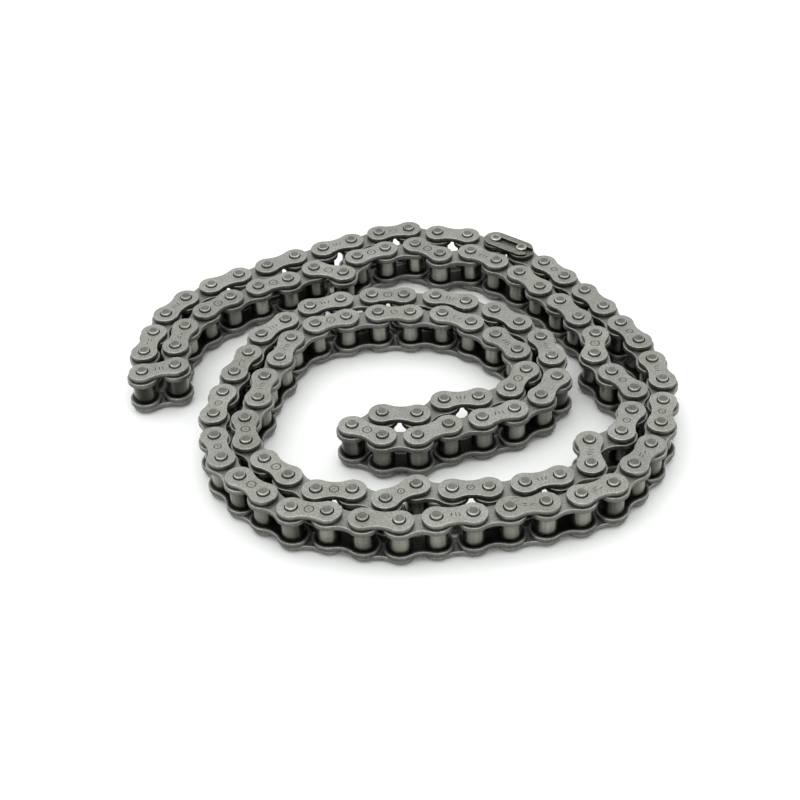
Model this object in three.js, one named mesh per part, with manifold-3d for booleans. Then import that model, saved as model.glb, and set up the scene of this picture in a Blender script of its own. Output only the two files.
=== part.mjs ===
// A closed motorcycle drive chain of the 428H size, lying on its side, folded double and coiled up.
// Millimetres, +Z up. The origin is under the middle of the coil, on the surface it lies on.
// The pins stand along Z. Links alternate: outer links carry the pins, inner links the bushes and rollers.
import * as THREE from "three";
import { mergeVertices } from "three/addons/utils/BufferGeometryUtils.js";
import Module from "manifold-3d";

const PITCH = 12.7;
const PLATE = 2; // thickness of every link plate
const INNER_WIDTH = 7.9; // between the two inner plates
const SIDE_PLAY = 0.15; // between an inner and an outer plate
const PIN_END = 0.9; // a riveted pin end beyond its outer plate
const PIN_R = 2.25;
const INNER_R = 5.9; // lobe of an inner plate
const INNER_WAIST = 4.25; // half the width of its waist
const OUTER_R = 5.1;
const OUTER_WAIST = 3.7;
const ROLLER_R = 4.25;
const BUSH_R = 3;
const BUSH_BORE_R = 2.33;
const HINGE_BORE_R = 2.36; // bore of a bush in a joined run of links, flat to axis
const RUN_CORNERS = 4; // of each plate lobe in a joined run
const LOBE_TURN = 1.18 * Math.PI; // angle that a lobe's arc spans
const LOOSE_CORNERS = 8; // of each lobe of the links at the connecting link

// The connecting link: its pins are longer, and a spring clip lies in their grooves.
const GROOVE_R = 1.75;
const CLIP = 1; // thickness of the spring clip
const CLIP_PLAY = 0.1;
const CLIP_R = 4.8; // outside radius of both of the clip's ends
const CLIP_SLOT = 1.9; // half the width of the slot between its legs
const CLIP_TIP_ANGLE = 0.22 * Math.PI; // each leg's end bends in round the second pin, to this angle
const PIN_HEAD = 0.6; // pin end above the groove

// Heights of the layers, from the surface up.
const Z_OUTER_LOW = PIN_END;
const Z_INNER_LOW = Z_OUTER_LOW + PLATE + SIDE_PLAY;
const Z_ROLLER = Z_INNER_LOW + PLATE;
const Z_INNER_TOP = Z_ROLLER + INNER_WIDTH;
const Z_OUTER_TOP = Z_INNER_TOP + PLATE + SIDE_PLAY;
const Z_COVER = Z_OUTER_TOP + PLATE;
const Z_PIN = Z_COVER + PIN_END;
const Z_GROOVE = Z_COVER + CLIP_PLAY;
const Z_GROOVE_TOP = Z_GROOVE + CLIP + 2 * CLIP_PLAY;
const Z_LONG_PIN = Z_GROOVE_TOP + PIN_HEAD;

// Where the pins lie in the coil, to the nearest millimetre, in the order of the loop.
const LIE = [
  // the outer fold, then the outer strand over the top
  [-85, 3], [-97, -1], [-97, 11], [-95, 24], [-91, 36], [-84, 46], [-74, 55], [-63, 61],
  [-52, 67], [-40, 73], [-29, 78], [-17, 83], [-6, 88], [7, 90], [19, 86], [31, 83],
  // the connecting link, and down the right side
  [43, 79], [53, 71], [62, 60], [69, 49], [76, 39], [82, 28], [87, 16], [93, 5],
  [96, -7], [98, -20], [96, -32], [94, -45], [89, -56], [81, -67], [73, -77], [61, -81],
  // back along the near side
  [49, -84], [36, -86], [24, -88], [11, -89], [-2, -90], [-14, -88], [-26, -83], [-39, -81],
  // up the left side of the inner turn
  [-48, -73], [-57, -64], [-64, -53], [-68, -41], [-68, -28], [-66, -16], [-62, -4], [-57, 8],
  [-52, 20], [-43, 28], [-34, 37], [-21, 41], [-9, 43], [4, 42], [17, 40], [28, 35],
  // round to the inner fold
  [39, 29], [48, 20], [55, 9], [59, -2], [59, -15], [52, -26], [41, -33], [29, -37],
  [17, -40], [6, -46], [-7, -45], [-18, -38],
  // the inner strand back out, beside the outer one
  [-6, -32], [6, -33], [17, -26], [30, -25], [42, -21], [48, -10], [46, 3], [38, 13],
  [29, 22], [18, 29], [6, 30], [-7, 31], [-20, 29], [-32, 26], [-41, 17], [-45, 5],
  [-50, -7], [-53, -20], [-57, -32], [-56, -44], [-49, -55], [-41, -64], [-31, -73], [-18, -74],
  [-7, -79], [4, -73], [17, -75], [30, -75], [42, -74], [54, -71], [66, -65], [67, -53],
  [79, -48], [84, -37], [87, -24], [80, -14], [75, -2], [76, 11], [71, 22], [65, 33],
  [58, 44], [51, 54], [42, 63], [32, 71], [20, 71], [9, 79], [-3, 76], [-14, 71],
  [-21, 60], [-33, 64], [-43, 57], [-55, 53], [-66, 46], [-76, 38], [-83, 27], [-86, 15],
];
const COUNT = LIE.length;
const CLEAR_PINS = 2 * INNER_R + 0.4; // pins of two strands that lie against each other
const CLEAR_WAIST = INNER_R + INNER_WAIST + 0.35; // a pin and the middle of another inner link
const SETTLE_STEPS = 1500;
const PULL = 0.002;

// How many links move as one piece, round the loop from link FIRST_RUN, just after the connecting link.
const FIRST_RUN = 18;
const RUNS = [
  3, 3, 3, 3, 3, 3, 3, 3, 3, 3, 2, 2, 3, 3, 2, 3, 3, 1, 3, 3, 3, 3, 3,
  3, 2, 3, 3, 3, 2, 2, 2, 3, 3, 3, 2, 3, 3, 3, 2, 1, 3, 3, 3, 3, 2,
];
const LINK_BEFORE = 15; // inner link on one side of the connecting link
const LINK_CONNECTING = 16;
const LINK_AFTER = 17; // inner link on its other side

const wasm = await Module();
wasm.setup();

// Rounded positions settle into a chain: every pitch comes out exact, and strands that touch stay clear.
function settle(lie) {
  const at = lie.map(([x, y]) => new THREE.Vector2(x, y));
  const start = at.map((p) => p.clone());
  const apart = (i, j) => Math.min((i - j + COUNT) % COUNT, (j - i + COUNT) % COUNT);
  const gap = new THREE.Vector2();
  for (let step = 0; step < SETTLE_STEPS; step++) {
    const pull = step < 0.8 * SETTLE_STEPS ? PULL * (1 - step / SETTLE_STEPS) : 0;
    at.forEach((p, i) => p.lerp(start[i], pull));
    for (let i = 0; i < COUNT; i++) {
      for (let j = i + 3; j < COUNT; j++) {
        if (apart(i, j) < 3) continue;
        const d = at[i].distanceTo(at[j]);
        if (d >= CLEAR_PINS) continue;
        gap.subVectors(at[i], at[j]).multiplyScalar((CLEAR_PINS - d) / (4 * d));
        at[i].add(gap);
        at[j].sub(gap);
      }
      for (let a = 1; a < COUNT; a += 2) {
        const b = (a + 1) % COUNT;
        if (apart(i, a) < 3 || apart(i, b) < 3) continue;
        const along = at[b].clone().sub(at[a]);
        const t = gap.subVectors(at[i], at[a]).dot(along) / along.lengthSq();
        if (t < 0.2 || t > 0.8) continue;
        gap.subVectors(at[i], at[a]).addScaledVector(along, -t);
        const d = gap.length();
        if (d >= CLEAR_WAIST) continue;
        gap.multiplyScalar((CLEAR_WAIST - d) / (4 * d));
        at[i].add(gap);
        at[a].addScaledVector(gap, t - 1);
        at[b].addScaledVector(gap, -t);
      }
    }
    for (let sweep = 0; sweep < 12; sweep++) {
      for (let a = sweep % 2; a < COUNT; a += 2) {
        const b = (a + 1) % COUNT;
        gap.subVectors(at[b], at[a]);
        gap.multiplyScalar((gap.length() - PITCH) / (2 * gap.length()));
        at[a].add(gap);
        at[b].sub(gap);
      }
    }
  }
  const box = new THREE.Box2().setFromPoints(at);
  const middle = box.getCenter(new THREE.Vector2());
  return at.map((p) => p.sub(middle));
}

const PINS = settle(LIE);
const pin = (i) => PINS[i % COUNT];

function solidOf(geometry) {
  const bare = geometry.index ? geometry.toNonIndexed() : geometry.clone();
  bare.deleteAttribute("normal");
  bare.deleteAttribute("uv");
  const g = mergeVertices(bare, 1e-4);
  return new wasm.Manifold(
    new wasm.Mesh({
      numProp: 3,
      vertProperties: new Float32Array(g.attributes.position.array),
      triVerts: new Uint32Array(g.index.array),
    }),
  );
}

function geometryOf(solid) {
  const m = solid.getMesh();
  const g = new THREE.BufferGeometry();
  g.setAttribute("position", new THREE.BufferAttribute(m.vertProperties, 3));
  g.setIndex(new THREE.BufferAttribute(m.triVerts, 1));
  g.computeVertexNormals();
  return g;
}

// An upright prism over a closed outline of [x, y] points.
function prism(points, low, high) {
  const shape = new THREE.Shape(points.map(([x, y]) => new THREE.Vector2(x, y)));
  const g = new THREE.ExtrudeGeometry(shape, { depth: high - low, bevelEnabled: false });
  return solidOf(g.translate(0, 0, low));
}

function ring(r, sides, turn = 0) {
  return Array.from({ length: sides }, (_, i) => {
    const a = turn + (2 * Math.PI * i) / sides;
    return [r * Math.cos(a), r * Math.sin(a)];
  });
}

// A figure-of-eight plate outline along the line from pin a to pin b.
function plateOutline(a, b, r, waist, corners) {
  const along = b.clone().sub(a);
  const turn = along.angle();
  const out = [];
  const lobe = (centre, facing) => {
    for (let i = 0; i < corners; i++) {
      const angle = facing + (i / (corners - 1) - 0.5) * LOBE_TURN;
      out.push([centre.x + r * Math.cos(angle), centre.y + r * Math.sin(angle)]);
    }
  };
  const middle = a.clone().add(b).multiplyScalar(0.5);
  const side = (s) =>
    out.push([middle.x - s * waist * Math.sin(turn), middle.y + s * waist * Math.cos(turn)]);
  lobe(b, turn);
  side(1);
  lobe(a, turn + Math.PI);
  side(-1);
  return out;
}

const moved = (points, at) => points.map(([x, y]) => [x + at.x, y + at.y]);
const isOuter = (link) => link % 2 === 0;
const flat = (inner, sides) => inner / Math.cos(Math.PI / sides); // corner radius for a flat at inner

function join(solids) {
  return solids.reduce((all, s) => all.add(s));
}

// A run of links from one hinge pin to the next, joined through the pins between its links.
function run(first, length) {
  const solids = [];
  const cuts = [];
  for (let k = first; k < first + length; k++) {
    const a = pin(k);
    const b = pin(k + 1);
    const joinedOnly = k > first && k < first + length - 1;
    const fill = joinedOnly ? SIDE_PLAY : 0; // the middle plates of a run of three have no side play
    if (isOuter(k)) {
      const line = plateOutline(a, b, OUTER_R, OUTER_WAIST, RUN_CORNERS);
      solids.push(prism(line, Z_OUTER_LOW, Z_OUTER_LOW + PLATE + fill));
      solids.push(prism(line, Z_OUTER_TOP - fill, Z_COVER));
    } else {
      const line = plateOutline(a, b, INNER_R, INNER_WAIST, RUN_CORNERS);
      solids.push(prism(line, Z_INNER_LOW - fill, Z_ROLLER));
      solids.push(prism(line, Z_INNER_TOP, Z_INNER_TOP + PLATE + fill));
    }
  }
  for (let k = first; k <= first + length; k++) {
    const inside = k > first && k < first + length;
    const link = k === first ? k : k - 1;
    const turn = pin(link + 1).clone().sub(pin(link)).angle();
    if (inside || !isOuter(link)) {
      const roller = moved(ring(ROLLER_R, 8, turn + Math.PI / 8), pin(k));
      solids.push(prism(roller, Z_ROLLER, Z_INNER_TOP));
    }
    if (inside || isOuter(link)) {
      solids.push(prism(moved(ring(PIN_R, 6, turn), pin(k)), 0, Z_PIN));
    } else {
      const bore = moved(ring(flat(HINGE_BORE_R, 6), 6, turn), pin(k));
      cuts.push(prism(bore, Z_INNER_LOW - 1, Z_OUTER_TOP));
    }
  }
  return cuts.reduce((all, c) => all.subtract(c), join(solids));
}

const STEEL = { color: 0x8f8e88, metalness: 0.9, roughness: 0.42 };
const DARK_STEEL = { color: 0x6d6a66, metalness: 0.9, roughness: 0.38 };
const material = (look) => new THREE.MeshStandardMaterial(look);

const chain = new THREE.Group();

function addPiece(name, solid, look) {
  const mesh = new THREE.Mesh(geometryOf(solid), material(look));
  mesh.name = name;
  chain.add(mesh);
}

function addRuns() {
  let first = FIRST_RUN;
  RUNS.forEach((length, i) => {
    addPiece(`run_${String(i + 1).padStart(2, "0")}`, run(first, length), STEEL);
    first += length;
  });
}

// An inner link in all its pieces: two plates pressed on two bushes, each with a free roller.
function addInnerLink(link, name) {
  const a = pin(link);
  const b = pin(link + 1);
  const turn = b.clone().sub(a).angle();
  const line = plateOutline(a, b, INNER_R, INNER_WAIST, LOOSE_CORNERS);
  const holes = [a, b].map((p) =>
    prism(moved(ring(flat(BUSH_R, 12) + 0.06, 12, turn), p), Z_INNER_LOW - 1, Z_OUTER_TOP),
  );
  [["low", Z_INNER_LOW], ["top", Z_INNER_TOP]].forEach(([side, z]) => {
    const plate = holes.reduce((s, h) => s.subtract(h), prism(line, z, z + PLATE));
    addPiece(`inner_plate_${side}_${name}`, plate, STEEL);
  });
  [a, b].forEach((p, i) => {
    const bore = prism(moved(ring(flat(BUSH_BORE_R, 12), 12, turn), p), 0, Z_LONG_PIN);
    const bush = prism(
      moved(ring(flat(BUSH_R, 12), 12, turn), p),
      Z_INNER_LOW,
      Z_INNER_TOP + PLATE,
    );
    addPiece(`bush_${name}${i + 1}`, bush.subtract(bore), STEEL);
    const hole = prism(moved(ring(flat(BUSH_R, 12) + 0.1, 12, turn), p), 0, Z_LONG_PIN);
    const roller = prism(
      moved(ring(ROLLER_R, 16, turn), p),
      Z_ROLLER + SIDE_PLAY,
      Z_INNER_TOP - SIDE_PLAY,
    );
    addPiece(`roller_${name}${i + 1}`, roller.subtract(hole), DARK_STEEL);
  });
}

// One pin of the connecting link from height low up, with the groove for the clip.
function longPin(at, turn, low) {
  const section = (r, from, to) => prism(moved(ring(r, 12, turn), at), from, to);
  return join([
    section(PIN_R, low, Z_GROOVE),
    section(GROOVE_R, Z_GROOVE - 0.1, Z_GROOVE_TOP + 0.1),
    section(PIN_R, Z_GROOVE_TOP, Z_LONG_PIN),
  ]);
}

// The connecting link: a plate with the pins, a cover plate, and the spring clip over it.
// The second pin is in two short ends, so the loop can part there without cutting through the bush.
function addConnectingLink() {
  const a = pin(LINK_CONNECTING);
  const b = pin(LINK_CONNECTING + 1);
  const along = b.clone().sub(a).normalize();
  const turn = along.angle();
  const line = plateOutline(a, b, OUTER_R, OUTER_WAIST, LOOSE_CORNERS);
  const lowEnd = prism(moved(ring(PIN_R, 12, turn), b), 0, Z_OUTER_LOW + 0.1);
  const low = join([prism(line, Z_OUTER_LOW, Z_OUTER_LOW + PLATE), longPin(a, turn, 0), lowEnd]);
  addPiece("connecting_pin_plate", low, STEEL);
  const hole = prism(moved(ring(PIN_R + 0.08, 12, turn), a), 0, Z_LONG_PIN);
  const cover = prism(line, Z_OUTER_TOP, Z_COVER).subtract(hole);
  addPiece("connecting_cover_plate", cover.add(longPin(b, turn, Z_OUTER_TOP)), DARK_STEEL);

  const place = (x, y) => [a.x + along.x * x - along.y * y, a.y + along.y * x + along.x * y];
  const arc = (r, x, from, to, steps) =>
    Array.from({ length: steps + 1 }, (_, i) => {
      const angle = from + ((to - from) * i) / steps;
      return [x + r * Math.cos(angle), r * Math.sin(angle)];
    });
  const end = CLIP_R * Math.cos(CLIP_TIP_ANGLE);
  const outside = [
    ...arc(CLIP_R, PITCH, CLIP_TIP_ANGLE, 0.5 * Math.PI, 3),
    ...arc(CLIP_R, 0, 0.5 * Math.PI, 1.5 * Math.PI, 10),
    ...arc(CLIP_R, PITCH, 1.5 * Math.PI, 2 * Math.PI - CLIP_TIP_ANGLE, 3),
  ];
  const slotEnd = arc(CLIP_SLOT, 0, 0.5 * Math.PI, 1.5 * Math.PI, 8);
  const inside = [[PITCH + end, CLIP_SLOT], ...slotEnd, [PITCH + end, -CLIP_SLOT]].reverse();
  const clip = prism(
    [...outside, ...inside].map(([x, y]) => place(x, y)),
    Z_GROOVE + CLIP_PLAY,
    Z_GROOVE + CLIP_PLAY + CLIP,
  );
  addPiece("spring_clip", clip, DARK_STEEL);
}

addRuns();
addInnerLink(LINK_BEFORE, "a");
addInnerLink(LINK_AFTER, "b");
addConnectingLink();

export default chain;
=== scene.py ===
"""A closed motorcycle drive chain of the 428H size, folded double and coiled up on a pale table.

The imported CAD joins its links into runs. Here each run is made again from whole links, with stamped
plates, riveted pins, bushes and rollers. It is two objects on the body of its run: the rollers, and
all the rest. Shapes are in millimetres and turned into metres when their mesh is made.
"""

import math
import random

import bpy
import numpy as np
from mathutils import Matrix, Vector
from mathutils.geometry import tessellate_polygon


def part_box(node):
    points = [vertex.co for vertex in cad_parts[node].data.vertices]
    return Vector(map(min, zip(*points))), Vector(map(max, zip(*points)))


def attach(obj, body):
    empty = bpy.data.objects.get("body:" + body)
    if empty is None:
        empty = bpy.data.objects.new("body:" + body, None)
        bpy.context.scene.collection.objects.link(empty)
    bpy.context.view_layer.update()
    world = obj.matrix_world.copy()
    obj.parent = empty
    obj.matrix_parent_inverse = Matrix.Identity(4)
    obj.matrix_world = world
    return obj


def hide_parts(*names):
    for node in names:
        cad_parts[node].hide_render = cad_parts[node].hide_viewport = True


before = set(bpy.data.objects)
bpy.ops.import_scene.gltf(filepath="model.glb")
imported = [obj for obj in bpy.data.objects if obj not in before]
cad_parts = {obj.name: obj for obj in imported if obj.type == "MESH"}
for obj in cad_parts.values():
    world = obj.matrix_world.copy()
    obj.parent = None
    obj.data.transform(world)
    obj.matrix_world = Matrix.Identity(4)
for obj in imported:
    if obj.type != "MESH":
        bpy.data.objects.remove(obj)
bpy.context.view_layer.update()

MM = 0.001
random.seed(428)

# Driving sizes of the chain, as in the CAD.
PITCH = 12.7
HALF = PITCH / 2
PLATE_THICK = 2.0
OUTER_LOBE, OUTER_WAIST = 5.1, 3.7
INNER_LOBE, INNER_WAIST = 5.9, 4.25
Z_OUTER_LOW = 0.9
Z_INNER_LOW = 3.05
Z_INNER_TOP = 12.95
Z_OUTER_TOP = 15.1
Z_PIN = 18.0
Z_GROOVE, Z_GROOVE_TOP = 17.2, 18.4
Z_LONG_PIN = 19.0
Z_ROLLER, Z_ROLLER_TOP = 5.2, 12.8
PIN_R = 2.25
BUSH_R, BUSH_BORE_R = 3.0, 2.33
ROLLER_R, ROLLER_BORE_R = 4.25, 3.08
GROOVE_R = 1.75
CLIP_R, CLIP_SLOT, CLIP_THICK = 4.8, 1.9, 1.0
Z_CLIP = 17.3
CLIP_TIP_ANGLE, CLIP_CORNER = 0.22 * math.pi, 0.35

# Links are numbered from the outer fold. Even ones are outer links, which carry their two pins.
PINS = 124
FIRST_RUN = 18
RUNS = [
    3, 3, 3, 3, 3, 3, 3, 3, 3, 3, 2, 2, 3, 3, 2, 3, 3, 1, 3, 3, 3, 3, 3,
    3, 2, 3, 3, 3, 2, 2, 2, 3, 3, 3, 2, 3, 3, 3, 2, 1, 3, 3, 3, 3, 2,
]
INNER_FOLD = ("run_17", "run_18", "run_19", "run_20")  # these runs lie still, as one body
CONNECTING = 16

# Sizes of details that only the looks have.
EDGE = 0.24  # radius of a plate's rolled edge
CLIP_EDGE = 0.14
PIN_CLEARANCE = 0.06  # of the outer plate's holes
BUSH_CLEARANCE = 0.04  # of the inner plate's holes
HOLE_MOUTH = 0.12
ROLLER_CHAMFER = 0.35
BUSH_CHAMFER = 0.2
ROLLER_FLANK_SHADE = 0.9  # painted shade on the rollers' flanks towards their neighbours
STAMP_DEPTH = 0.16
STAMP_SHADE = 0.9  # how dark the painted shade in the stamped marks is

# Steps round the outlines and edges.
EDGE_STEPS = 3
ROUND_STEPS = 24
BUSH_STEPS = 24
ROLLER_STEPS = 40
STAMP_STEPS = 16
LOBE_STEPS = 22
WAIST_STEPS = 8

# Grain of the materials, as noise scales per metre.
FINE, DENTS, BLOTCHES, OIL = 1400, 700, 260, 90
STREAKS, FILM = 1100, 120
METALLIC = 0.9

# The photo's camera, in metres and degrees, its light and the table.
CAMERA_ELEVATION = 38.707
CAMERA_ROLL = -2.57
CAMERA_DISTANCE = 0.62603
CAMERA_TARGET = (-0.00001, -0.02554, 0.01735)
CAMERA_LENS = 76.53
WORLD_COLOR = (1.0, 1.01, 1.0, 1)
WORLD_STRENGTH = 1.45
OVERHEAD_PLACE = (-0.2, 0.05, 1.5)
OVERHEAD_SIZE = (1.8, 1.6)
OVERHEAD_POWER = 12
TABLE_HALF = 6.0


class Shape:
    """A closed mesh in the making, with a painted shade value and an edge value (wear and painted
    highlight) at each point for its material.
    """

    def __init__(self):
        self.points, self.wall, self.edge, self.faces, self.smooth = [], [], [], [], []

    def ring(self, outline, z, wall=0.0, edge=0.0):
        """Adds a closed ring of points at one height, and returns their numbers."""
        first = len(self.points)
        self.points += [(x, y, z) for x, y in outline]
        self.wall += [wall] * len(outline)
        self.edge += [edge] * len(outline)
        return list(range(first, len(self.points)))

    def strip(self, a, b):
        """Joins two rings of equal count by quads, facing right on the way from a to b."""
        count = len(a)
        for i in range(count):
            j = (i + 1) % count
            self.faces.append((a[i], a[j], b[j], b[i]))
            self.smooth.append(True)

    def cap(self, rings, up):
        """Fills the first ring, less the others, with flat triangles."""
        loops = [[Vector(self.points[i]) for i in ring] for ring in rings]
        numbers = [i for ring in rings for i in ring]
        for face in tessellate_polygon(loops):
            a, b, c = (self.points[numbers[i]] for i in face)
            turn = (b[0] - a[0]) * (c[1] - a[1]) - (b[1] - a[1]) * (c[0] - a[0])
            corners = [numbers[i] for i in face]
            self.faces.append(tuple(corners if (turn > 0) == up else corners[::-1]))
            self.smooth.append(False)


def circle(r, steps=ROUND_STEPS, x=0.0):
    angles = [2 * math.pi * i / steps for i in range(steps)]
    return [(x + r * math.cos(a), r * math.sin(a)) for a in angles]


def figure_eight(lobe, waist):
    """Points and outward normals of a plate's outline: two lobes joined by hollow waists."""
    hollow = (HALF**2 + waist**2 - lobe**2) / (2 * (lobe - waist))
    meet = math.atan2(waist + hollow, -HALF)
    points = []
    for side in (1, -1):
        for i in range(LOBE_STEPS + 1):
            a = meet * (2 * i / LOBE_STEPS - 1)
            n = (side * math.cos(a), side * math.sin(a))
            points.append(((side * HALF + lobe * n[0], lobe * n[1]), n))
        for i in range(1, WAIST_STEPS):
            a = (meet - math.pi) + (-2 * meet + math.pi) * i / WAIST_STEPS
            n = (-side * math.cos(a), -side * math.sin(a))
            points.append(((-hollow * n[0], side * (waist + hollow) - hollow * n[1]), n))
    return points


def inset(outline, depth):
    return [(p[0] - depth * n[0], p[1] - depth * n[1]) for p, n in outline]


def rolled_edge(shape, outline, low, high, radius=EDGE, seam=1.0, side=0.25):
    """The side of a plate, with both edges rolled. Returns its lowest and its highest ring.

    Seam and side tell how much painted shade its lower edge and the rest of its side get.
    """
    turns = [0.5 * math.pi * i / EDGE_STEPS for i in range(EDGE_STEPS + 1)]
    profile = [(radius * (1 - math.sin(t)), low + radius * (1 - math.cos(t))) for t in turns]
    profile += [(0, low + 1.7 * radius), (0, high - 1.7 * radius)]
    profile += [(depth, low + high - z) for depth, z in reversed(profile[:EDGE_STEPS + 1])]
    # Painted shade down the side, darkest at its lower edge; the upper rolled edge is brighter for
    # wear and as a painted highlight.
    walls = [seam, seam, seam, seam, 0.85 * seam, side, side, 0.5 * side, 0, 0]
    edges = [0, 0, 0, 0, 0, 0, 0.4, 1, 0.8, 0.2]
    rings = [
        shape.ring(inset(outline, depth), z, wall, edge)
        for (depth, z), wall, edge in zip(profile, walls, edges)
    ]
    for a, b in zip(rings, rings[1:]):
        shape.strip(a, b)
    return rings[0], rings[-1]


def hole(shape, r, low, high, x, face):
    """A round hole, chamfered at both ends, with painted shade inside and in a ring round its mouths.
    Returns its lowest and highest ring.
    """
    mouth, shade_reach = r + HOLE_MOUTH, r + 1.6 * HOLE_MOUTH
    profile = [
        (shade_reach, low, 1), (mouth, low, 1), (r, low + HOLE_MOUTH, 1),
        (r, high - HOLE_MOUTH, 1), (mouth, high, 1), (shade_reach, high, face),
    ]
    rings = [shape.ring(circle(radius, x=x), z, wall) for radius, z, wall in profile]
    for a, b in zip(rings, rings[1:]):
        shape.strip(b, a)
    return rings[0], rings[-1]


def stamped_ring(shape, top, r, width, bars=()):
    """A shallow ring pressed into the top face round the middle of the plate, with bars inside."""
    profile = [(r, 0), (r - 0.1, 1), (r - width, 1), (r - width - 0.1, 0)]
    # The pressed floor of the ring gets painted shade.
    rings = [
        shape.ring(circle(radius, STAMP_STEPS), top - STAMP_DEPTH * down, STAMP_SHADE * down)
        for radius, down in profile
    ]
    for a, b in zip(rings, rings[1:]):
        shape.strip(a, b)
    shape.cap([rings[-1], *stamped_bars(shape, top, bars)], True)
    return [rings[0]]


def stamped_bars(shape, top, bars):
    """Short shallow bars pressed into the top face, each (x, y, half length, half width, turn)."""
    mouths = []
    for x, y, length, width, turn in bars:
        c, s = math.cos(turn), math.sin(turn)
        corners = [(length, -width), (length, width), (-length, width), (-length, -width)]
        mouth, floor = (
            [(x + k * (u * c - v * s), y + k * (u * s + v * c)) for u, v in corners]
            for k in (1, 0.72)
        )
        upper = shape.ring(mouth, top)
        # The bar's floor gets painted shade.
        lower = shape.ring(floor, top - STAMP_DEPTH, STAMP_SHADE)
        shape.strip(upper, lower)
        shape.cap([lower], True)
        mouths.append(upper)
    return mouths


QUARTER = math.pi / 2
UPRIGHT_BARS = [
    (-1.6, 0.2, 1.05, 0.2, QUARTER + 0.2),
    (-0.3, 0, 1.05, 0.2, QUARTER),
    (1.2, -0.1, 1.05, 0.2, QUARTER - 0.3),
]
LEVEL_BARS = [(-1.2, 0.3, 0.8, 0.2, 0.3), (1.1, 0.5, 0.75, 0.2, 0), (0.9, -0.6, 0.8, 0.2, 0.2)]
CROSSED = [(0, 0.05, 0.75, 0.17, 0.8)]
STAMPS = {
    "ring": lambda shape, top: stamped_ring(shape, top, 1.9, 0.42, CROSSED),
    "small_ring": lambda shape, top: stamped_ring(shape, top, 1.5, 0.36, CROSSED),
    "bars": lambda shape, top: stamped_bars(shape, top, UPRIGHT_BARS),
    "dashes": lambda shape, top: stamped_bars(shape, top, LEVEL_BARS),
    "plain": lambda shape, top: [],
}
STAMP_MIX = ["ring", "bars", "small_ring", "ring", "dashes", "bars", "plain"]


def plate(lobe, waist, hole_r, low, stamp="plain", face=0.0, seam=1.0):
    """A link plate along X, with its two holes at -HALF and HALF.

    Face and seam tell how much painted shade its top and its lower edge get.
    """
    shape = Shape()
    outline = figure_eight(lobe, waist)
    high = low + PLATE_THICK
    bottom, top = rolled_edge(shape, outline, low, high, seam=seam, side=0.1)
    rim = EDGE + 0.12 + 0.7 * face  # how far in from the edge the painted shade of the top fades in
    under = shape.ring(inset(outline, 1.5 * EDGE), low, 1)
    over = shape.ring(inset(outline, rim), high, face)
    shape.strip(under, bottom)
    shape.strip(top, over)
    holes = [hole(shape, hole_r, low, high, x, face) for x in (-HALF, HALF)]
    marks = STAMPS[stamp](shape, high)
    shape.cap([under, *(h[0] for h in holes)], False)
    shape.cap([over, *(h[1] for h in holes), *marks], True)
    return shape


def turned(profile, x):
    """A solid round an upright axis, from (radius, z, wall, edge) rows, bottom to top."""
    shape = Shape()
    rings = [shape.ring(circle(r, x=x), z, wall, edge) for r, z, wall, edge in profile]
    for a, b in zip(rings, rings[1:]):
        shape.strip(a, b)
    shape.cap([rings[0]], False)
    shape.cap([rings[-1]], True)
    return shape


def tube(outside, bore, low, high, chamfer, steps, x, flank_shade=0.0):
    """An upright tube with chamfered ends. Its last argument sets the painted shade on its flanks
    towards its neighbours.

    Its profile is in (radius, z, painted shade, edge) rows: out along the bottom, up, and back in the
    bore. Shade is painted darkest in the bore and towards the bottom end, and the top edge brighter
    for wear and as a painted highlight.
    """
    shape = Shape()
    middle = (low + high) / 2
    profile = [
        (bore + chamfer / 2, low, 0.3, 0),
        (outside - chamfer, low, 0.2, 0.4),
        (outside - 0.3 * chamfer, low + 0.3 * chamfer, 0.5, 0.4),
        (outside, low + chamfer, 0.6, 0.2),
        (outside, low + 2 * chamfer, 0.5, 0),
        (outside, middle, 0.12, 0),
        (outside, high - 2 * chamfer, 0.25, 0),
        (outside, high - chamfer, 0, 0.4),
        (outside - 0.3 * chamfer, high - 0.3 * chamfer, 0.1, 1),
        (outside - chamfer, high, 0.2, 0.4),
        (bore + chamfer / 2, high, 0.3, 0),
        (bore, high - chamfer / 2, 1, 0),
        (bore, low + chamfer / 2, 1, 0),
    ]
    rings = [shape.ring(circle(r, steps, x), z, wall, edge) for r, z, wall, edge in profile]
    for a, b in zip(rings, [*rings[1:], rings[0]]):
        shape.strip(a, b)
    along = [math.cos(2 * math.pi * i / steps) ** 2 for i in range(steps)] * len(rings)
    shape.wall = [wall + (1 - wall) * flank_shade * a for wall, a in zip(shape.wall, along)]
    return shape


def pin_end(top, down):
    """Profile of a riveted pin end from the shaft out to its dimpled middle, with painted shade on
    the shaft under the head and in the dimple, and a rim brighter for wear and as a painted
    highlight.
    """
    rows = [
        (PIN_R, 1.25, 1, 0), (PIN_R - 0.05, 0.88, 1, 0), (PIN_R - 0.12, 0.66, 0.4, 0.1),
        (PIN_R - 0.2, 0.36, 0.1, 0.2), (PIN_R - 0.28, 0.15, 0, 0.85), (PIN_R - 0.42, 0.03, 0, 0.35),
        (PIN_R - 0.6, 0, 0, 0.1), (PIN_R - 0.8, 0, 0, 0), (1.15, 0, 0, 0), (0.95, 0.05, 0.12, 0),
        (0.4, 0.06, 0.06, 0),
    ]
    return [(r, top - down * depth, wall, edge) for r, depth, wall, edge in rows]


def riveted_pin(x):
    low = list(reversed(pin_end(0, -1)))
    return turned([*low, *pin_end(Z_PIN, 1)], x)


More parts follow.
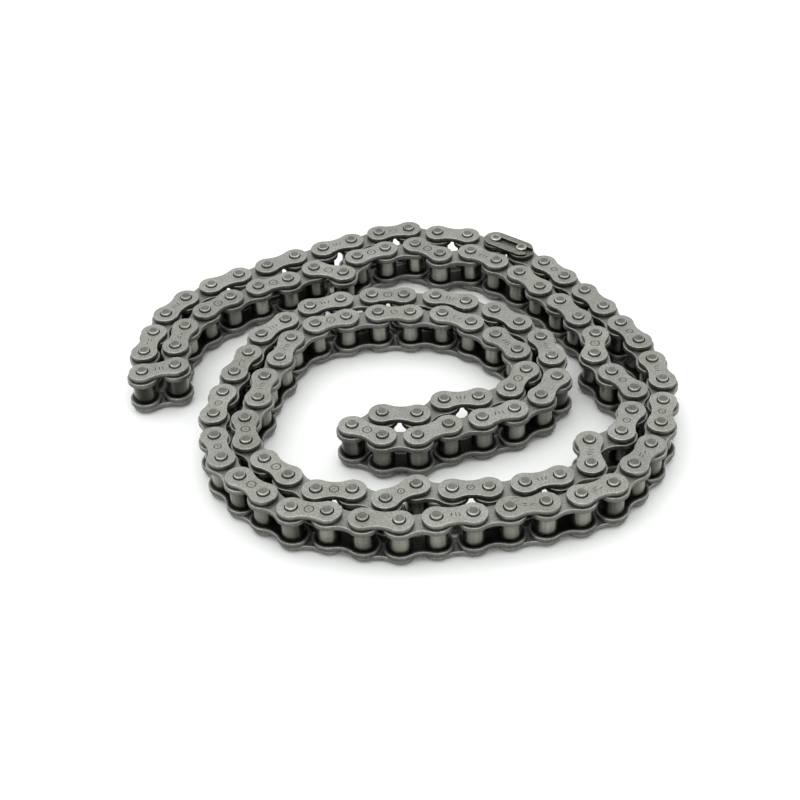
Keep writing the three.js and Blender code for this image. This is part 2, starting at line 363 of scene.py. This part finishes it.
def long_pin(x):
    """A pin of the connecting link: taller, with a groove for the clip."""
    low = list(reversed(pin_end(0, -1)))
    # Painted shade in and round the clip's groove and in the top's dimple; rims brighter for wear and
    # as a painted highlight.
    top = [
        (PIN_R, Z_GROOVE - 0.1, 0.8, 0), (PIN_R - 0.1, Z_GROOVE, 0.8, 0.4),
        (GROOVE_R, Z_GROOVE, 1, 0), (GROOVE_R, Z_GROOVE_TOP, 1, 0),
        (PIN_R - 0.08, Z_GROOVE_TOP, 0.6, 0.6),
        (PIN_R - 0.02, Z_GROOVE_TOP + 0.08, 0.1, 1), (PIN_R - 0.06, Z_LONG_PIN - 0.35, 0, 0.3),
        (PIN_R - 0.2, Z_LONG_PIN - 0.12, 0, 1), (PIN_R - 0.42, Z_LONG_PIN, 0, 0.5),
        (1.0, Z_LONG_PIN, 0, 0), (0.8, Z_LONG_PIN - 0.1, 0.5, 0), (0.3, Z_LONG_PIN - 0.12, 0.2, 0),
    ]
    return turned([*low, *top], x)


def arc(r, start, end, steps, x=0.0, y=0.0):
    """Points and outward normals of an arc, from angle start to angle end."""
    angles = [start + (end - start) * i / steps for i in range(steps + 1)]
    normals = [(math.cos(a), math.sin(a)) for a in angles]
    return [((x + r * n[0], y + r * n[1]), n) for n in normals]


def clip_outline():
    """Round behind the first pin, with two legs bent in past the second and an open slot between."""
    reach = CLIP_R * math.cos(CLIP_TIP_ANGLE) - CLIP_CORNER
    bend = math.acos(reach / (CLIP_R - CLIP_CORNER))
    x, y = HALF + reach, (CLIP_R - CLIP_CORNER) * math.sin(bend)
    outline = arc(CLIP_CORNER, -QUARTER, 0, 4, x, CLIP_SLOT + CLIP_CORNER)
    outline += arc(CLIP_CORNER, 0, bend, 3, x, y)
    outline += arc(CLIP_R, bend, QUARTER, 8, HALF)[1:]
    outline += arc(CLIP_R, QUARTER, 3 * QUARTER, 24, -HALF)
    outline += arc(CLIP_R, 3 * QUARTER, 4 * QUARTER - bend, 8, HALF)
    outline += arc(CLIP_CORNER, -bend, 0, 3, x, -y)[1:]
    outline += arc(CLIP_CORNER, 0, QUARTER, 4, x, -CLIP_SLOT - CLIP_CORNER)
    slot_end = arc(CLIP_SLOT, 3 * QUARTER, QUARTER, 14, -HALF)
    return outline + [(p, (-n[0], -n[1])) for p, n in slot_end]


def clip():
    shape = Shape()
    bottom, top = rolled_edge(shape, clip_outline(), Z_CLIP, Z_CLIP + CLIP_THICK, CLIP_EDGE)
    shape.cap([bottom], False)
    shape.cap([top], True)
    return shape


def placed_points(shape, at, turn):
    """The shape's points, turned about the upright axis and moved to a place on the table."""
    c, s = math.cos(turn), math.sin(turn)
    u, v, z = np.array(shape.points).T
    return np.column_stack([u * c - v * s + at[0], u * s + v * c + at[1], z])


def joined_mesh(name, parts):
    """One mesh of all the (material, placed shapes) parts. Each shape gets a tone of its own."""
    points, faces, smooth, look, wall, edge, tone = [], [], [], [], [], [], []
    placed = [(*place, i) for i, (_, shapes) in enumerate(parts) for place in shapes]
    for shape, at, turn, index in placed:
        base = len(tone)
        points.append(placed_points(shape, at, turn))
        faces += [tuple(base + i for i in face) for face in shape.faces]
        smooth += shape.smooth
        look += [index] * len(shape.faces)
        wall += shape.wall
        edge += shape.edge
        tone += [random.random()] * len(shape.points)
    mesh = bpy.data.meshes.new(name)
    mesh.from_pydata(np.vstack(points) * MM, [], faces)
    mesh.polygons.foreach_set("use_smooth", smooth)
    for key, values in (("wall", wall), ("edge", edge), ("tone", tone)):
        mesh.attributes.new(key, "FLOAT", "POINT").data.foreach_set("value", values)
    for material, _ in parts:
        mesh.materials.append(material)
    mesh.polygons.foreach_set("material_index", look)
    mesh.update()
    return mesh


def piece(name, parts, body, nodes):
    """One object on a body, in place of its CAD nodes."""
    obj = bpy.data.objects.new(name, joined_mesh(name, parts))
    bpy.context.scene.collection.objects.link(obj)
    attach(obj, body)
    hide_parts(*nodes)


# ---------------------------------------------------------------- materials


class Nodes:
    """Short calls for building one material's node tree."""

    def __init__(self, name):
        self.material = bpy.data.materials.new(name)
        self.material.use_nodes = True
        self.tree = self.material.node_tree
        self.shader = self.tree.nodes["Principled BSDF"]
        self.place = self.tree.nodes.new("ShaderNodeTexCoord").outputs["Object"]

    def link(self, source, target):
        """Sets an input to a plain value, or joins it to another node's output."""
        if isinstance(source, (int, float, tuple)):
            target.default_value = source
        else:
            self.tree.links.new(source, target)

    def value(self, key):
        node = self.tree.nodes.new("ShaderNodeAttribute")
        node.attribute_name = key
        return node.outputs["Fac"]

    def noise(self, scale, detail=3.0, roughness=0.55, stretch=(1, 1, 1)):
        mapping = self.tree.nodes.new("ShaderNodeMapping")
        mapping.inputs["Scale"].default_value = stretch
        self.link(self.place, mapping.inputs["Vector"])
        node = self.tree.nodes.new("ShaderNodeTexNoise")
        node.inputs["Scale"].default_value = scale
        node.inputs["Detail"].default_value = detail
        node.inputs["Roughness"].default_value = roughness
        self.link(mapping.outputs["Vector"], node.inputs["Vector"])
        return node.outputs["Fac"]

    def math(self, kind, a, b):
        node = self.tree.nodes.new("ShaderNodeMath")
        node.operation = kind
        self.link(a, node.inputs[0])
        self.link(b, node.inputs[1])
        return node.outputs[0]

    def span(self, source, low, high, to_low, to_high):
        """Maps low..high of a value to to_low..to_high, and no further."""
        node = self.tree.nodes.new("ShaderNodeMapRange")
        self.link(source, node.inputs["Value"])
        ends = {"From Min": low, "From Max": high, "To Min": to_low, "To Max": to_high}
        for key, number in ends.items():
            node.inputs[key].default_value = number
        return node.outputs["Result"]

    def mix(self, factor, a, b, kind="MIX"):
        node = self.tree.nodes.new("ShaderNodeMix")
        node.data_type = "RGBA"
        node.blend_type = kind
        self.link(factor, node.inputs[0])
        self.link(a, node.inputs[6])
        self.link(b, node.inputs[7])
        return node.outputs[2]

    def darken(self, color, shade):
        """The colour times the shade, which may also be over 1."""
        even = self.tree.nodes.new("ShaderNodeCombineColor")
        for channel in ("Red", "Green", "Blue"):
            self.link(shade, even.inputs[channel])
        return self.mix(1.0, color, even.outputs["Color"], "MULTIPLY")

    def bump(self, height, strength, distance, normal=None):
        node = self.tree.nodes.new("ShaderNodeBump")
        node.inputs["Strength"].default_value = strength
        node.inputs["Distance"].default_value = distance
        self.link(height, node.inputs["Height"])
        if normal is not None:
            self.link(normal, node.inputs["Normal"])
        return node.outputs["Normal"]

    def finish(self, color, roughness, metallic, normal):
        self.link(color, self.shader.inputs["Base Color"])
        self.link(roughness, self.shader.inputs["Roughness"])
        self.link(metallic, self.shader.inputs["Metallic"])
        self.link(normal, self.shader.inputs["Normal"])
        return self.material


def grey(level, warm=0.0):
    """A slightly green grey of that linear level, yellower by the given share."""
    return (level, level * 1.01, level * (0.95 - warm), 1)


def steel(name, top, wall, rim, rough, warm=0.02):
    """Stamped and tumbled steel: satin faces, painted shade on side walls, holes and hollows, and
    edges brighter for wear and as a painted highlight.

    The top argument, the one after it and rim are the levels of grey of the faces, the painted shade
    and the edges.
    """
    n = Nodes(name)
    fine = n.noise(FINE, 4, 0.65)
    blotch = n.noise(BLOTCHES, 4, 0.6)
    oil = n.noise(OIL, 3, 0.6)
    tone = n.span(n.value("tone"), 0, 1, 0.9, 1.08)

    face = n.mix(n.span(oil, 0.35, 0.65, 0, 1), grey(top, warm), grey(0.86 * top, warm + 0.03))
    # Painted shade: where the points' shade value says, the face colour turns to this dark grey.
    side = n.mix(n.span(blotch, 0.35, 0.7, 0, 1), grey(wall, 0.08), grey(2.2 * wall, 0.1))
    color = n.mix(n.value("wall"), face, side)
    # Edges painted brighter towards the rim grey, as wear and as a painted highlight.
    wear_and_highlight = n.math("MULTIPLY", n.value("edge"), n.span(blotch, 0.35, 0.6, 0.45, 1))
    color = n.mix(wear_and_highlight, color, grey(rim, warm))
    grain = n.span(fine, 0.34, 0.66, 0.7, 1.3)
    shade = n.math("MULTIPLY", grain, n.span(blotch, 0.3, 0.7, 0.88, 1.08))
    color = n.darken(color, n.math("MULTIPLY", shade, tone))

    polish = n.math("MULTIPLY", wear_and_highlight, -0.08)
    roughness = n.math("ADD", n.span(blotch, 0.3, 0.7, rough - 0.05, rough + 0.08), polish)
    roughness = n.math("ADD", roughness, n.span(fine, 0.3, 0.7, -0.04, 0.06))
    normal = n.bump(fine, 0.55, 0.00004)
    normal = n.bump(n.noise(DENTS, 2), 0.35, 0.00008, normal)
    return n.finish(color, roughness, METALLIC, normal)


def drawn_steel(name, base, rough):
    """Drawn steel under a film of oil, with fine streaks along it, painted near black where its
    points carry painted shade, and brighter at its edges for wear and as a painted highlight.
    """
    n = Nodes(name)
    streaks = n.noise(STREAKS, 3, 0.6, (1, 1, 0.1))
    film = n.noise(FILM, 3, 0.5, (1, 1, 0.3))
    tone = n.span(n.value("tone"), 0, 1, 0.72, 1.22)

    body = n.mix(n.span(film, 0.35, 0.65, 0, 1), grey(base, 0.08), grey(0.78 * base, 0.13))
    # Painted shade: the points' shade value turns the colour near black.
    color = n.mix(n.value("wall"), body, grey(0.012, 0.1))
    # Edges painted brighter, as wear and as a painted highlight.
    color = n.mix(n.math("MULTIPLY", n.value("edge"), 0.7), color, grey(1.5 * base, 0.08))
    color = n.darken(color, n.math("MULTIPLY", n.span(streaks, 0.3, 0.7, 0.76, 1.2), tone))

    drag = n.span(streaks, 0.3, 0.7, -0.03, 0.03)
    roughness = n.math("ADD", n.span(film, 0.3, 0.7, rough - 0.03, rough + 0.07), drag)
    return n.finish(color, roughness, METALLIC, n.bump(streaks, 0.4, 0.00003))


PLATES = steel("plate_steel", top=0.236, wall=0.016, rim=0.33, rough=0.44)
INNERS = steel("inner_plate_steel", top=0.185, wall=0.012, rim=0.32, rough=0.44)
# The pins' bright rims are wear and a painted highlight.
PIN_STEEL = steel("pin_steel", top=0.125, wall=0.013, rim=0.58, rough=0.34, warm=0.03)
LINK_STEEL = steel("connecting_link_steel", top=0.115, wall=0.008, rim=0.22, rough=0.36, warm=0.09)
ROLLER_STEEL = drawn_steel("roller_steel", base=0.27, rough=0.2)
# A darker copy of the roller steel: painted shade for the rollers of the inner fold.
SHADED_FOLD_ROLLER_STEEL = drawn_steel("shaded_fold_roller_steel", base=0.17, rough=0.24)
# Bushes near black: painted shade deep in the gaps between rollers and plates.
BUSH_STEEL = drawn_steel("bush_steel", base=0.05, rough=0.3)
CLIP_STEEL = steel("clip_steel", top=0.125, wall=0.009, rim=0.28, rough=0.34, warm=0.08)


# ---------------------------------------------------------------- where the pins stand


TOP_SLACK = 0.02  # how far below a pin's top a point still counts as on it
PIN_REACH = 2.2 * PIN_R  # points of one pin's top are nearer than this to each other


def middle_of(node):
    low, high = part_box(node)
    return np.array([(low.x + high.x) / 2, (low.y + high.y) / 2]) / MM


def pins_in(node):
    """The middles of a run's riveted pins, from their flat tops. An inner link alone has none."""
    at = np.array([v.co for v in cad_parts[node].data.vertices]) / MM
    highest = at[:, 2].max()
    if highest < Z_OUTER_TOP:
        return []
    on_top = at[:, 2] > highest - TOP_SLACK
    tops = np.unique(np.round(at[on_top, :2], 3), axis=0)
    found = []
    while len(tops):
        near = np.linalg.norm(tops - tops[0], axis=1) < PIN_REACH
        found.append(tops[near].mean(axis=0))
        tops = tops[~near]
    return found


def follow_pins():
    """Every pin's place in the order of the loop, a pitch from one to the next."""
    rollers = ("roller_a1", "roller_a2", "roller_b1", "roller_b2")
    pins = {CONNECTING - 1 + i: middle_of(roller) for i, roller in enumerate(rollers)}
    last = FIRST_RUN - 1
    for i in range(len(RUNS)):
        left = pins_in(f"run_{i + 1:02d}")
        while left:
            away = [abs(np.linalg.norm(p - pins[last % PINS]) - PITCH) for p in left]
            last += 1
            pins[last % PINS] = left.pop(int(np.argmin(away)))
    return [pins[i] for i in range(PINS)]


PIN_PLACES = follow_pins()


def link_place(k):
    """The middle of a link and its turn on the table."""
    a, b = PIN_PLACES[k % PINS], PIN_PLACES[(k + 1) % PINS]
    return tuple((a + b) / 2), math.atan2(b[1] - a[1], b[0] - a[0])


# ---------------------------------------------------------------- the chain

ENDS = (-HALF, HALF)
PIN_HOLE = PIN_R + PIN_CLEARANCE
BUSH_HOLE = BUSH_R + BUSH_CLEARANCE
BUSH_SPAN = (Z_INNER_LOW, Z_INNER_TOP + PLATE_THICK)
ROLLER_SPAN = (Z_ROLLER, Z_ROLLER_TOP)

# Seam and face set painted shade: at the plates' lower edges, and over the whole top of the low inner
# plates.
OUTER_LOW = plate(OUTER_LOBE, OUTER_WAIST, PIN_HOLE, Z_OUTER_LOW, seam=0.3)
OUTER_TOPS = {s: plate(OUTER_LOBE, OUTER_WAIST, PIN_HOLE, Z_OUTER_TOP, s) for s in STAMPS}
INNER_LOW = plate(INNER_LOBE, INNER_WAIST, BUSH_HOLE, Z_INNER_LOW, face=1.0, seam=0.6)
INNER_TOP = plate(INNER_LOBE, INNER_WAIST, BUSH_HOLE, Z_INNER_TOP, seam=0.5)
PIN_PAIR = [riveted_pin(x) for x in ENDS]
LONG_PAIR = [long_pin(x) for x in ENDS]
BUSHES = [tube(BUSH_R, BUSH_BORE_R, *BUSH_SPAN, BUSH_CHAMFER, BUSH_STEPS, x) for x in ENDS]
ROLLERS = [
    tube(ROLLER_R, ROLLER_BORE_R, *ROLLER_SPAN, ROLLER_CHAMFER, ROLLER_STEPS, x, ROLLER_FLANK_SHADE)
    for x in ENDS
]


def place_link(shapes, k):
    at, turn = link_place(k)
    return [(shape, at, turn) for shape in shapes]


def place_links(shapes, links):
    return [placed for k in links for placed in place_link(shapes, k)]


def place_outer_plates(links):
    """The plates of outer links, each with a random mark on its top."""
    placed = []
    for k in links:
        top = OUTER_TOPS[random.choice(STAMP_MIX)]
        placed += place_link([OUTER_LOW, top], k)
    return placed


def add_run(name, first, length):
    """The links of one run: its rollers, and all the rest."""
    body = "inner_fold" if name in INNER_FOLD else name
    outer = [k for k in range(first, first + length) if k % 2 == 0]
    inner = [k for k in range(first, first + length) if k % 2 == 1]
    parts = [
        (PLATES, place_outer_plates(outer)),
        (PIN_STEEL, place_links(PIN_PAIR, outer)),
        (INNERS, place_links([INNER_LOW, INNER_TOP], inner)),
        (BUSH_STEEL, place_links(BUSHES, inner)),
    ]
    piece(f"{name}_plates", [part for part in parts if part[1]], body, [name])
    if inner:
        # The inner fold's rollers take the darker copy, as painted shade.
        steel_of_rollers = SHADED_FOLD_ROLLER_STEEL if name in INNER_FOLD else ROLLER_STEEL
        rollers = [(steel_of_rollers, place_links(ROLLERS, inner))]
        piece(f"{name}_rollers", rollers, body, [name])


def add_runs():
    first = FIRST_RUN
    for i, length in enumerate(RUNS):
        add_run(f"run_{i + 1:02d}", first, length)
        first += length


def add_loose_inner(k, letter):
    """An inner link in all its pieces, beside the connecting link."""
    body = f"inner_{letter}"

    def add(node, material, shape, on, slot):
        piece(f"{node}_steel", [(material, place_link([shape], k))], on, [node])

    add(f"inner_plate_low_{letter}", INNERS, INNER_LOW, body, "plates")
    add(f"inner_plate_top_{letter}", INNERS, INNER_TOP, body, "plates")
    for i, (bush, roller) in enumerate(zip(BUSHES, ROLLERS), start=1):
        add(f"bush_{letter}{i}", BUSH_STEEL, bush, body, "bushes")
        add(f"roller_{letter}{i}", ROLLER_STEEL, roller, f"roller_{letter}{i}", "rollers")


def add_connecting_link():
    pin_plate, cover = "connecting_pin_plate", "connecting_cover_plate"

    def add(name, material, shapes, body, nodes, slot):
        piece(name, [(material, place_link(shapes, CONNECTING))], body, nodes)

    top = OUTER_TOPS["plain"]
    add("connecting_low_plate", LINK_STEEL, [OUTER_LOW], "connecting", [pin_plate], "plates")
    add("connecting_pins", PIN_STEEL, LONG_PAIR, "connecting", [pin_plate, cover], "plates")
    add("connecting_top_plate", LINK_STEEL, [top], "connecting", [cover], "plates")
    add("connecting_clip", CLIP_STEEL, [clip()], "clip", ["spring_clip"], "clip")


add_runs()
add_loose_inner(CONNECTING - 1, "a")
add_loose_inner(CONNECTING + 1, "b")
add_connecting_link()


# ---------------------------------------------------------------- table, light and camera


def floor_material():
    n = Nodes("pale_table")
    cloudy = n.noise(6, 3)
    light, dark = (0.725, 0.735, 0.727, 1), (0.71, 0.72, 0.712, 1)
    color = n.mix(n.span(cloudy, 0.3, 0.7, 0, 1), light, dark)
    normal = n.bump(n.noise(1500, 2), 0.05, 0.00005)
    return n.finish(color, n.span(cloudy, 0.3, 0.7, 0.6, 0.7), 0.0, normal)


def add_floor():
    corners = [(x * TABLE_HALF, y * TABLE_HALF, 0) for x, y in ((-1, -1), (1, -1), (1, 1), (-1, 1))]
    mesh = bpy.data.meshes.new("table")
    mesh.from_pydata(corners, [], [(0, 1, 2, 3)])
    mesh.materials.append(floor_material())
    floor = bpy.data.objects.new("table", mesh)
    bpy.context.scene.collection.objects.link(floor)


def add_world():
    """Even white surroundings, very slightly green."""
    world = bpy.data.worlds.new("studio")
    bpy.context.scene.world = world
    world.use_nodes = True
    background = world.node_tree.nodes["Background"]
    background.inputs["Color"].default_value = WORLD_COLOR
    background.inputs["Strength"].default_value = WORLD_STRENGTH


def add_light(name, place, target, size, power):
    lamp = bpy.data.lights.new(name, "AREA")
    lamp.shape = "RECTANGLE"
    lamp.size, lamp.size_y = size
    lamp.energy = power
    obj = bpy.data.objects.new(name, lamp)
    obj.location = place
    obj.rotation_mode = "QUATERNION"
    obj.rotation_quaternion = (Vector(target) - Vector(place)).to_track_quat("-Z", "Y")
    bpy.context.scene.collection.objects.link(obj)


def add_camera():
    """A camera a little over half a metre away, looking down on the coil at a slant."""
    tall, roll = math.radians(CAMERA_ELEVATION), math.radians(CAMERA_ROLL)
    right = Vector((1, 0, 0))
    up = Vector((0, math.sin(tall), math.cos(tall)))
    back = Vector((0, -math.cos(tall), math.sin(tall)))
    turned_right = right * math.cos(roll) + up * math.sin(roll)
    turned_up = up * math.cos(roll) - right * math.sin(roll)
    data = bpy.data.cameras.new("camera")
    data.lens, data.sensor_width = CAMERA_LENS, 36.0
    data.clip_start, data.clip_end = 0.01, 20
    camera = bpy.data.objects.new("camera", data)
    place = Vector(CAMERA_TARGET) + back * CAMERA_DISTANCE
    rotation = Matrix((turned_right, turned_up, back)).transposed()
    camera.matrix_world = Matrix.Translation(place) @ rotation.to_4x4()
    bpy.context.scene.collection.objects.link(camera)
    bpy.context.scene.camera = camera


add_floor()
add_world()
add_light("overhead", OVERHEAD_PLACE, (0, 0, 0), OVERHEAD_SIZE, OVERHEAD_POWER)
add_camera()
bpy.context.scene.view_settings.view_transform = "Standard"
